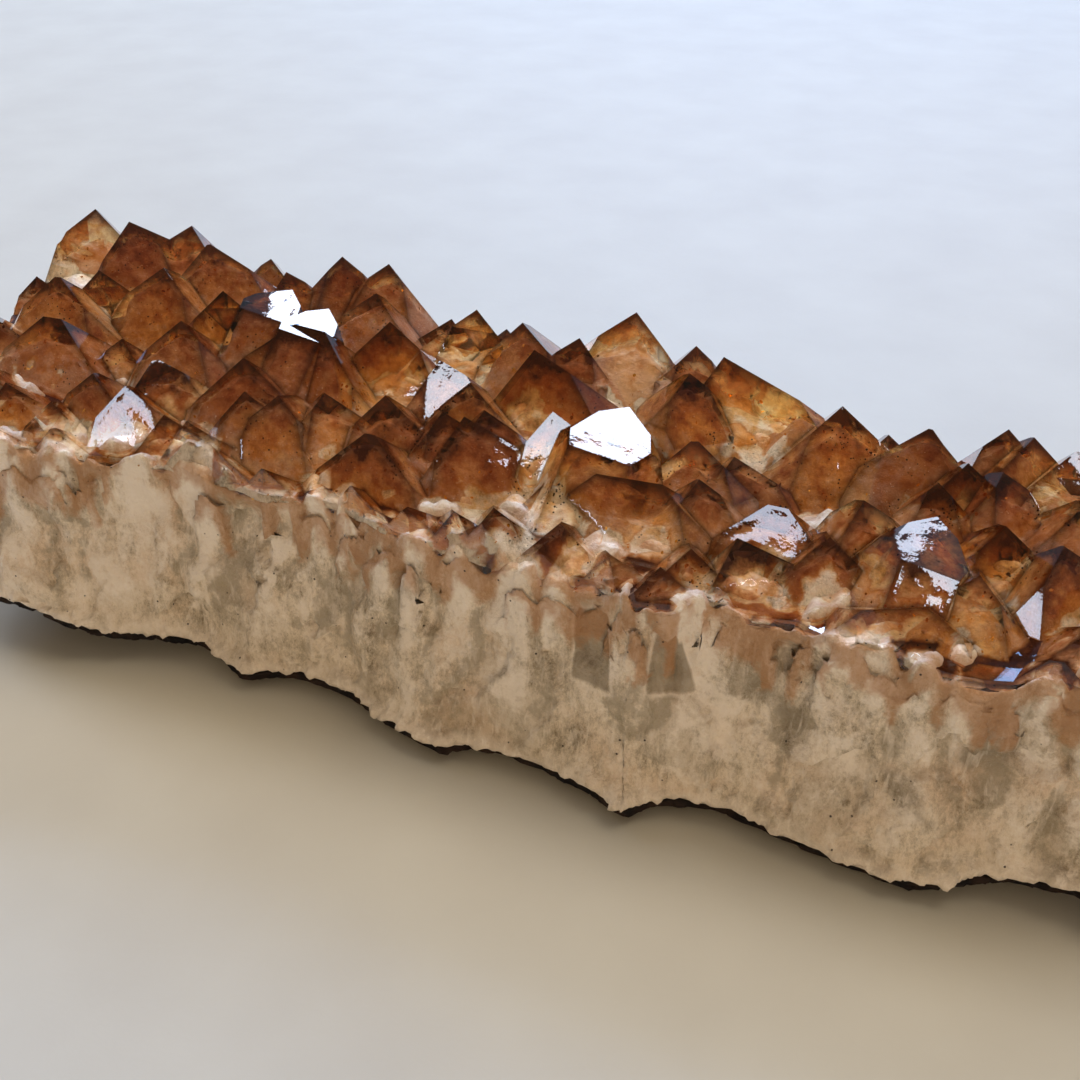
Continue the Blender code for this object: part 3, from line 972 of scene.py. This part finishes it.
    def milkiness(self, points: np.ndarray, tips: Tips, seam: BandSurface,
                  glass: bpy.types.Object) -> np.ndarray:
        """How milky the crystals are: 1 at their ragged foot and where the break lays their inside bare.

        Args:
            points: places in millimetres.
            tips: the tops of the crystals; the milk rises highest under them.
            seam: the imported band's top.
            glass: the clear body.

        Returns:
            The milkiness of each point.
        """
        ragged = field(points, (2.6, 2.6, 2.6), 17.0, 3)
        rise = points[:, 2] - seam.beside(points) - self.milk_rise * tips.columns(points)
        swell = self.milk_swell * field(points, (8.0, 8.0, 8.0), 41.0, 2)
        foot = 1.0 - smooth_step(*self.milk_edge, rise + self.milk_raggedness * ragged + swell)
        depth, bare = [np.array([tree.find_nearest(Vector(p) * MM)[3] for p in points]) / MM
                       for tree in (self.face_tree(glass, True), self.face_tree(glass, False))]
        deep = smooth_step(*self.milk_depth, depth + 0.9 * ragged)
        return np.maximum(foot, deep * (1.0 - smooth_step(*self.bare_edge, bare)))

    def keep_inside(self, points: np.ndarray, low: np.ndarray, glass: bpy.types.Object) -> None:
        """Hold the core's points under the grown faces, and let milky ones stand out of the broken faces.

        Args:
            points: the core's places in millimetres; they are moved.
            low: their milkiness.
            glass: the clear body.
        """
        grown, broken = self.face_tree(glass, True), self.face_tree(glass, False)
        for i, point in enumerate(points):
            spot = Vector(point) * MM
            near, normal, _, gap = grown.find_nearest(spot)
            bare, outward, _, bare_gap = broken.find_nearest(spot)
            if bare_gap < gap:
                near, normal = bare, outward
            least = self.core_margin - self.bare_reach * low[i] * (bare_gap < gap)
            height = (spot - near).dot(normal) / MM
            if height > -least or (least < 0.0 and height > -self.bare_depth):
                points[i] = np.array(near / MM - normal * least)

    def build_core(self, glass: bpy.types.Object, tips: Tips, seam: BandSurface) -> bpy.types.Object:
        """The cloudy inside, a rounded copy a little below the faces and further below the tips.

        Args:
            glass: the clear body; the core stays inside its grown faces and stands out of its broken ones.
            tips: the tops of the crystals.
            seam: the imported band's top.

        Returns:
            The core.
        """
        core = remeshed("cloudy_cores", self.node, self.core_voxel)
        smooth = core.modifiers.new("rounding", "SMOOTH")
        smooth.factor = 0.5
        smooth.iterations = self.core_rounds
        apply_modifiers(core)
        points = positions(core.data)
        points -= normals(core.data) * self.core_depth
        owner = tips.envelope(points)[1]
        drop = np.maximum(0.0, tips.places[owner, 2] - points[:, 2])
        lowest = np.minimum(points[:, 2], seam.beside(points) + self.least_core)
        clear = np.hypot(drop, tips.clear_depths()[owner]) - drop
        points[:, 2] = np.maximum(points[:, 2] - blurred(core.data, clear, self.core_blur), lowest)
        lumps = self.core_lumps * field(points, (2.2, 2.2, 2.2), 3.0, 3)
        points += normals(core.data) * lumps[:, None]
        low = self.milkiness(points, tips, seam, glass)
        self.keep_inside(points, low, glass)
        set_positions(core.data, points)
        heights, owner = tips.envelope(points)
        store(core.data, "amber", 1.0 - smooth_step(*self.amber_reach, heights - points[:, 2]))
        store(core.data, "low", low)
        store(core.data, "tone", tips.tones()[owner])
        core.data.shade_smooth()
        return core

    def build(self, seam: BandSurface) -> Tips:
        """Make both pieces over the seam, and what grew between them.

        Args:
            seam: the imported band's top.

        Returns:
            The tops of the crystals.
        """
        glass, tips = self.build_glass(seam)
        core = self.build_core(glass, tips, seam)
        place(glass, self.node, "citrine", CitrineGlass().build())
        place(core, self.node, "citrine", CloudyCitrine().build())
        Inclusions().build(glass, core)
        return tips


@dataclass(frozen=True)
class IronFlakes:
    """Thin crystals of iron oxide: golden metallic flakes, which glitter inside the points."""

    gold: str = "#F2B85A"
    roughness: float = 0.22

    def build(self) -> bpy.types.Material:
        """Make the finish of the flakes.

        Returns:
            The material.
        """
        material, tree, shader = new_material("iron_oxide_flakes")
        connect(tree, shader, {"Base Color": self.gold, "Metallic": 1.0, "Roughness": self.roughness})
        return material


@dataclass(frozen=True)
class BlackGrains:
    """Grains of black iron oxide: small, dull and nearly black."""

    black: str = "#17100B"
    roughness: float = 0.6

    def build(self) -> bpy.types.Material:
        """Make the finish of the grains.

        Returns:
            The material.
        """
        material, tree, shader = new_material("black_iron_oxide")
        connect(tree, shader, {"Base Color": self.black, "Roughness": self.roughness})
        return material


@dataclass
class Inclusions:
    """Specks that grew inside the crystals, between their cloudy cores and their clear faces."""

    node: str = "citrine_crystals"
    flakes: int = 1400
    flake_size: tuple[float, float] = (0.10, 0.32)
    flake_height: float = 0.25
    swarms: int = 110
    swarm_height: float = 0.6
    grains: tuple[int, int] = (8, 34)
    grain_size: tuple[float, float] = (0.05, 0.15)
    grain_cover: float = 0.2
    swarm_reach: tuple[float, float, float] = (0.8, 0.8, 1.3)
    seed: int = 23

    def inside(self, core: bpy.types.Object, glass: BVHTree, rng: np.random.Generator,
               count: int, lowest: float) -> list[Vector]:
        """Random places a little above the cloudy core and under the clear faces.

        Args:
            core: the cloudy inside.
            glass: the clear body's search tree.
            rng: the random numbers.
            count: how many places are wanted.
            lowest: the least closeness to a crystal's top, from the core's "amber" attribute.

        Returns:
            Places in metres.
        """
        mesh = core.data
        closeness = np.zeros(len(mesh.vertices), np.float32)
        mesh.attributes["amber"].data.foreach_get("value", closeness)
        chosen = [mesh.vertices[i] for i in np.nonzero(closeness > lowest)[0]]
        chosen = [vert for vert in chosen if vert.normal.z > 0.1]
        places = []
        for number in rng.integers(0, len(chosen), count):
            vert = chosen[number]
            room = glass.find_nearest(vert.co)[3]
            places.append(vert.co + vert.normal * float(room * rng.uniform(0.05, 0.75)))
        return places

    def scatter(self, name: str, places: list[Vector], sizes: np.ndarray, flat: bool,
                material: bpy.types.Material, rng: np.random.Generator) -> None:
        """Join small six-sided flakes or rounded grains into one mesh, each turned its own way.

        Args:
            name: the piece's name.
            places: where they lie, in metres.
            sizes: their radii in millimetres.
            flat: whether they are flakes, or else grains.
            material: their finish.
            rng: the random numbers.
        """
        bm = bmesh.new()
        for spot, size in zip(places, sizes):
            turned = Matrix.Translation(spot) @ Euler(rng.uniform(0.0, math.tau, 3)).to_matrix().to_4x4()
            if flat:
                stretch = Matrix.Diagonal((1.0, float(rng.uniform(0.4, 1.0)), 1.0, 1.0))
                bmesh.ops.create_circle(bm, cap_ends=True, segments=6, radius=size * MM,
                                        matrix=turned @ stretch)
            else:
                bmesh.ops.create_icosphere(bm, subdivisions=1, radius=size * MM, matrix=turned)
        place(to_object(name, bm), self.node, "citrine", material)

    def build(self, glass: bpy.types.Object, core: bpy.types.Object) -> None:
        """Scatter flakes through the crystals and swarms of grains near their tops.

        Args:
            glass: the clear body.
            core: the cloudy inside.
        """
        rng = np.random.default_rng(self.seed)
        bm = bmesh.new()
        bm.from_mesh(glass.data)
        tree = BVHTree.FromBMesh(bm)
        bm.free()
        flakes = self.inside(core, tree, rng, self.flakes, self.flake_height)
        self.scatter("iron_oxide_flakes", flakes, rng.uniform(*self.flake_size, self.flakes), True,
                     IronFlakes().build(), rng)
        grains = []
        for middle in self.inside(core, tree, rng, self.swarms, self.swarm_height):
            for _ in range(int(rng.integers(*self.grains))):
                spot = middle + Vector(rng.normal(0.0, self.swarm_reach)) * MM
                near, normal, _, _ = tree.find_nearest(spot)
                if (spot - near).dot(normal) < -self.grain_cover * MM:
                    grains.append(spot)
        self.scatter("black_iron_oxide_grains", grains, rng.uniform(*self.grain_size, len(grains)), False,
                     BlackGrains().build(), rng)


@dataclass(frozen=True)
class SmokyWindow:
    """A flat, clear, smoky spot on the band's front face; all in millimetres."""

    x: float
    z: float
    width: float
    height: float
    slant: float = 0.0
    taper: float = 0.0

    def reach(self, points: np.ndarray) -> np.ndarray:
        """How far out places are from the window's middle.

        Args:
            points: places in millimetres.

        Returns:
            Below 1 inside the window and 1 on its straight edges, for each point; 9 at the band's back.
        """
        rise = (points[:, 2] - self.z) / (0.5 * self.height)
        half = 0.5 * self.width * (1.0 + self.taper * rise)
        across = np.abs(points[:, 0] - self.x - self.slant * (points[:, 2] - self.z)) / np.maximum(half, 0.2)
        return np.where(points[:, 1] < 0.0, np.maximum(across, np.abs(rise)), 9.0)


@dataclass
class QuartzBand:
    """The band of massive milky quartz, broken on every side into low flat chips."""

    node: str = "quartz_band"
    voxel: float = 0.58
    chip: tuple[float, float, float] = (7.0, 7.0, 12.0)
    chip_tilt: float = 0.12
    chip_depth: float = 0.8
    chip_seed: int = 5
    chip_stretch: float = 0.6
    chip_wander: float = 0.8
    grain_relief: float = 0.16
    window_depth: float = 0.45
    window_edge: tuple[float, float] = (0.9, 1.15)
    haze_edge: tuple[float, float] = (0.7, 1.3)
    stain_edge: tuple[float, float] = (-1.2, 1.2)
    column_fade: tuple[float, float] = (6.0, 17.0)
    rim_height: tuple[float, float] = (0.5, 2.6)
    rim_share: float = 0.7
    seam_overlap: float = 1.6
    lip_height: tuple[float, float] = (0.4, 2.6)
    lip_reach: float = 0.25
    crumble: float = 0.9
    crumble_height: tuple[float, float] = (0.5, 3.0)
    column_bulge: float = 0.9
    windows: tuple[SmokyWindow, ...] = (
        SmokyWindow(19.8, 19.8, 4.4, 7.4, -0.10, -0.12),
        SmokyWindow(29.0, 20.0, 4.0, 6.4, -0.15, -0.25),
    )
    hazy_spots: tuple[SmokyWindow, ...] = (
        SmokyWindow(-3.6, 20.5, 2.6, 3.4, 0.20, 0.3),
        SmokyWindow(63.0, 20.5, 4.6, 9.0, 0.20, -0.2),
        SmokyWindow(55.5, 11.8, 3.6, 4.6, -0.60, 0.3),
        SmokyWindow(-33.6, 23.4, 3.0, 3.0, 0.40, 0.3),
        SmokyWindow(42.7, 15.4, 3.4, 6.0, -0.30, 0.3),
        SmokyWindow(37.5, 19.0, 5.0, 5.0, 0.30, 0.2),
    )

    def chips(self, points: np.ndarray) -> tuple[np.ndarray, np.ndarray]:
        """The broken face's flat chips, each with its own tilt and depth.

        Args:
            points: places in millimetres.

        Returns:
            The relief, and the tone from -1 to 1 of the chip that each point is in.
        """
        rng = np.random.default_rng(self.chip_seed)
        low, high = points.min(axis=0), points.max(axis=0)
        count = int(np.prod((high - low) / np.array(self.chip)))
        seeds = rng.uniform(low, high, (count, 3))
        tilts = rng.normal(0.0, self.chip_tilt, (count, 3))
        depths = rng.uniform(-self.chip_depth, 0.1, count)
        tones = rng.uniform(-1.0, 1.0, count)
        tree = KDTree(count)
        for i, (x, y, z) in enumerate(seeds):
            tree.insert(Vector((x, y, self.chip_stretch * z)), i)
        tree.balance()
        wander = self.chip_wander * np.stack([field(points, (3.0, 3.0, 4.0), seed, 2)
                                              for seed in (31.0, 47.0, 59.0)], 1)
        nearest = np.array([tree.find(Vector((x, y, self.chip_stretch * z)))[1]
                            for x, y, z in points + wander])
        relief = depths[nearest] + np.einsum("ij,ij->i", tilts[nearest], points - seeds[nearest])
        return np.clip(relief, -1.5 * self.chip_depth, 0.25), tones[nearest]

    def build(self, seam: BandSurface, foot: BandSurface, tips: Tips) -> None:
        """Make the band; its upper rim reaches a little over the seam and hides it, its lower rim crumbles.

        Args:
            seam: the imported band's top.
            foot: its underside.
            tips: the tops of the crystals, each of which stands on a column of its own.
        """
        band = remeshed("milky_quartz_band", self.node, self.voxel)
        points = positions(band.data)
        away = normals(band.data)
        side = 1.0 - smooth_step(0.5, 0.9, np.abs(away[:, 2]))
        depth = seam.beside(points) - points[:, 2]
        rise = points[:, 2] - foot.beside(points)
        lip = 1.0 - smooth_step(*self.lip_height, depth)
        low = smooth_step(*self.crumble_height, rise)
        window = np.min([spot.reach(points) for spot in self.windows], axis=0)
        inside = 1.0 - smooth_step(*self.window_edge, window)
        relief, tone = self.chips(points)
        grains = field(points, (1.5, 1.5, 2.4), 7.0, 3)
        crumbs = field(points, (1.6, 1.6, 1.6), 3.0, 3)
        column = tips.columns(points)
        high = 1.0 - smooth_step(*self.column_fade, depth + 3.0 * grains)
        relief = relief * low * (1.0 - lip) * (1.0 - inside)
        relief += self.grain_relief * grains - self.window_depth * inside
        relief += self.column_bulge * (column - 0.7) * (0.35 + 0.65 * high) * low * (1.0 - lip)
        relief += self.lip_reach * lip + self.crumble * crumbs * (1.0 - low)
        points += away * (relief * side)[:, None]
        ragged = 0.3 + 1.1 * column + 0.6 * field(points, (2.0, 2.0, 2.0), 13.0, 2)
        points[:, 2] += self.seam_overlap * lip * ragged
        points[:, 2] += self.crumble * crumbs * (1.0 - low) * (points[:, 2] > 4.0)
        hazy = np.min([spot.reach(points) for spot in self.hazy_spots], axis=0)
        set_positions(band.data, points)
        zones = {
            "window": 0.5 * np.minimum(window, 2.0),
            "rim": self.rim_share * (1.0 - smooth_step(*self.rim_height, rise - grains)),
            "stain": 1.0 - smooth_step(*self.stain_edge, depth - 2.4 * (1.0 - column) + 1.6 * grains),
            "haze": 1.0 - smooth_step(*self.haze_edge, hazy),
            "tone": 0.5 + 0.5 * tone,
            "column": 0.5 + (column - 0.5) * (0.25 + 0.75 * high),
        }
        for name, values in zones.items():
            store(band.data, name, values)
        band.data.shade_smooth()
        place(band, self.node, "milky_quartz", MilkyQuartz().build())


@dataclass
class BasaltRind:
    """The thin skin of basalt that the slab lies on."""

    node: str = "basalt_rind"
    voxel: float = 0.6
    chunk_depth: float = 1.2
    inset: float = 0.75

    def build(self) -> None:
        """Make the rind with a lumpy, crumbling edge."""
        rind = remeshed("basalt_skin", self.node, self.voxel)
        points = positions(rind.data)
        away = normals(rind.data)
        side = 1.0 - smooth_step(0.4, 0.9, np.abs(away[:, 2]))
        chunks = self.chunk_depth * field(points, (1.3, 1.3, 1.0), 5.0, 3)
        points += away * (side * (chunks - self.inset))[:, None]
        points[:, 2] = np.maximum(points[:, 2], 0.0)
        set_positions(rind.data, points)
        rind.data.shade_smooth()
        place(rind, self.node, "basalt", Basalt().build())


@dataclass(frozen=True)
class PaleTable:
    """Matt paint on wood: pale and faintly mottled, with a soft sheen that catches the window far off."""

    light: str = "#D8DAD2"
    dark: str = "#D1D2CA"
    roughness: float = 0.65
    mottle_width: float = 22.2222
    grain_width: float = 1.42857

    def build(self) -> bpy.types.Material:
        """Make the finish of the floor.

        Returns:
            The material.
        """
        material, tree, shader = new_material("painted_table")
        spot = add_node(tree, "TexCoord", output="Object")
        mottle = add_node(tree, "TexNoise", {"Vector": spot, "Scale": per_metre(self.mottle_width),
                                             "Detail": 6.0})
        colour = add_node(tree, "ValToRGB", {"Fac": mottle}, stops=((0.3, self.dark), (0.7, self.light)))
        grain = add_node(tree, "TexNoise", {"Vector": spot, "Scale": per_metre(self.grain_width),
                                            "Detail": 3.0})
        bump = add_node(tree, "Bump", {"Strength": 0.08, "Distance": 0.3 * MM, "Height": grain})
        connect(tree, shader, {"Base Color": colour, "Normal": bump, "Roughness": self.roughness})
        return material


@dataclass(frozen=True)
class Softbox:
    """A rectangular light that faces the slab; its place and size are in metres."""

    name: str
    place: tuple[float, float, float]
    size: tuple[float, float]
    watts: float
    colour: str
    mirrored: bool = True
    lit: bool = True

    def build(self) -> None:
        """Add the light to the scene."""
        light = bpy.data.lights.new(self.name, "AREA")
        light.shape = "RECTANGLE"
        light.size, light.size_y = self.size
        light.energy = self.watts
        light.color = linear(self.colour)[:3]
        obj = bpy.data.objects.new(self.name, light)
        obj.location = self.place
        obj.visible_glossy = self.mirrored
        obj.visible_diffuse = self.lit
        aim = Vector((0.0, 0.0, 0.02)) - Vector(self.place)
        obj.rotation_euler = aim.to_track_quat("-Z", "Y").to_euler()
        bpy.context.scene.collection.objects.link(obj)


@dataclass
class Studio:
    """A plain pale floor, soft light from behind and a camera at the slab's front."""

    focal_length: float = 43.47
    camera_place: tuple[float, float, float] = (0.0577166, -0.1308972, 0.1102948)
    camera_turn: float = 22.5
    camera_drop: float = 34.0
    bounces: int = 7
    floor_reach: float = 2.5
    room: tuple[tuple[float, float, str], ...] = ((0.0, 0.22, "#F0CCA0"), (0.5, 0.24, "#DCD4CC"),
                                                  (1.0, 0.60, "#C8DEFF"))
    lights: tuple[Softbox, ...] = (
        Softbox("window_behind", (-0.40, 2.40, 1.35), (2.00, 1.30), 64.0, "#9EC5FF"),
        Softbox("window_left", (-0.85, 0.25, 0.55), (0.30, 0.40), 3.0, "#E6EEFF"),
        Softbox("warm_lamp", (0.40, -1.10, 0.26), (0.90, 0.40), 3.4, "#FFDAB2", False),
        Softbox("ceiling", (0.30, 0.52, 1.45), (1.20, 0.75), 11.5, "#FFE6C4", False),
        Softbox("skylight", (-0.285, 1.060, 1.023), (0.60, 0.22), 8.4, "#DCE8FF", True, False),
        Softbox("skylight_right", (0.400, 1.100, 0.930), (0.14, 0.12), 0.6, "#DCE8FF", True, False),
        Softbox("sparkle_front", (-0.283, -1.226, 0.817), (0.26, 0.10), 1.0, "#DCE8FF", True, False),
        Softbox("sparkle_right", (0.735, -0.639, 1.141), (0.20, 0.12), 1.1, "#E8F0FF", True, False),
        Softbox("sparkle_high", (0.494, -0.928, 1.070), (0.14, 0.14), 0.9, "#E8F0FF", True, False),
    )

    def build_floor(self) -> None:
        """The table that the slab lies on."""
        bm = bmesh.new()
        bmesh.ops.create_grid(bm, x_segments=1, y_segments=1, size=self.floor_reach)
        floor = to_object("floor", bm)
        floor.data.materials.append(PaleTable().build())

    def build_world(self) -> None:
        """The room: dim and warm behind the camera, pale and cool towards the windows."""
        world = bpy.data.worlds.new("room")
        bpy.context.scene.world = world
        world.use_nodes = True
        tree = world.node_tree
        coords = add_node(tree, "TexCoord", output="Generated")
        along = add_node(tree, "SeparateXYZ", {"Vector": coords}, output="Y")
        side = add_node(tree, "MapRange", {"Value": along, "From Min": -0.6, "From Max": 0.9})
        stops = tuple((position, tuple(strength * c for c in linear(colour)))
                      for position, strength, colour in self.room)
        room = add_node(tree, "ValToRGB", {"Fac": side}, stops=stops)
        connect(tree, tree.nodes["Background"], {"Color": room})

    def build_camera(self) -> None:
        """The camera looks along the slab from its front right."""
        lens = bpy.data.cameras.new("camera")
        lens.sensor_width = 36.0
        lens.lens = self.focal_length
        lens.clip_start = 0.01
        camera = bpy.data.objects.new("camera", lens)
        turn, drop = math.radians(self.camera_turn), math.radians(self.camera_drop)
        ahead = Vector((-math.sin(turn) * math.cos(drop), math.cos(turn) * math.cos(drop), -math.sin(drop)))
        camera.location = self.camera_place
        camera.rotation_euler = ahead.to_track_quat("-Z", "Y").to_euler()
        bpy.context.scene.collection.objects.link(camera)
        bpy.context.scene.camera = camera

    def build(self) -> None:
        """Set up the floor, lights and camera."""
        self.build_floor()
        for light in self.lights:
            light.build()
        self.build_world()
        self.build_camera()
        bpy.context.scene.view_settings.view_transform = "Standard"
        cycles = bpy.context.scene.cycles
        cycles.max_bounces = self.bounces
        cycles.transmission_bounces = self.bounces
        cycles.diffuse_bounces = 2


def main() -> None:
    """Build the studio, then the cluster from the points down."""
    logging.basicConfig(level=logging.INFO, format="%(message)s")
    Studio().build()
    seam = BandSurface(top=True)
    tips = CitrineCrust().build(seam)
    QuartzBand().build(seam, BandSurface(top=False), tips)
    BasaltRind().build()


if __name__ == "__main__":
    main()
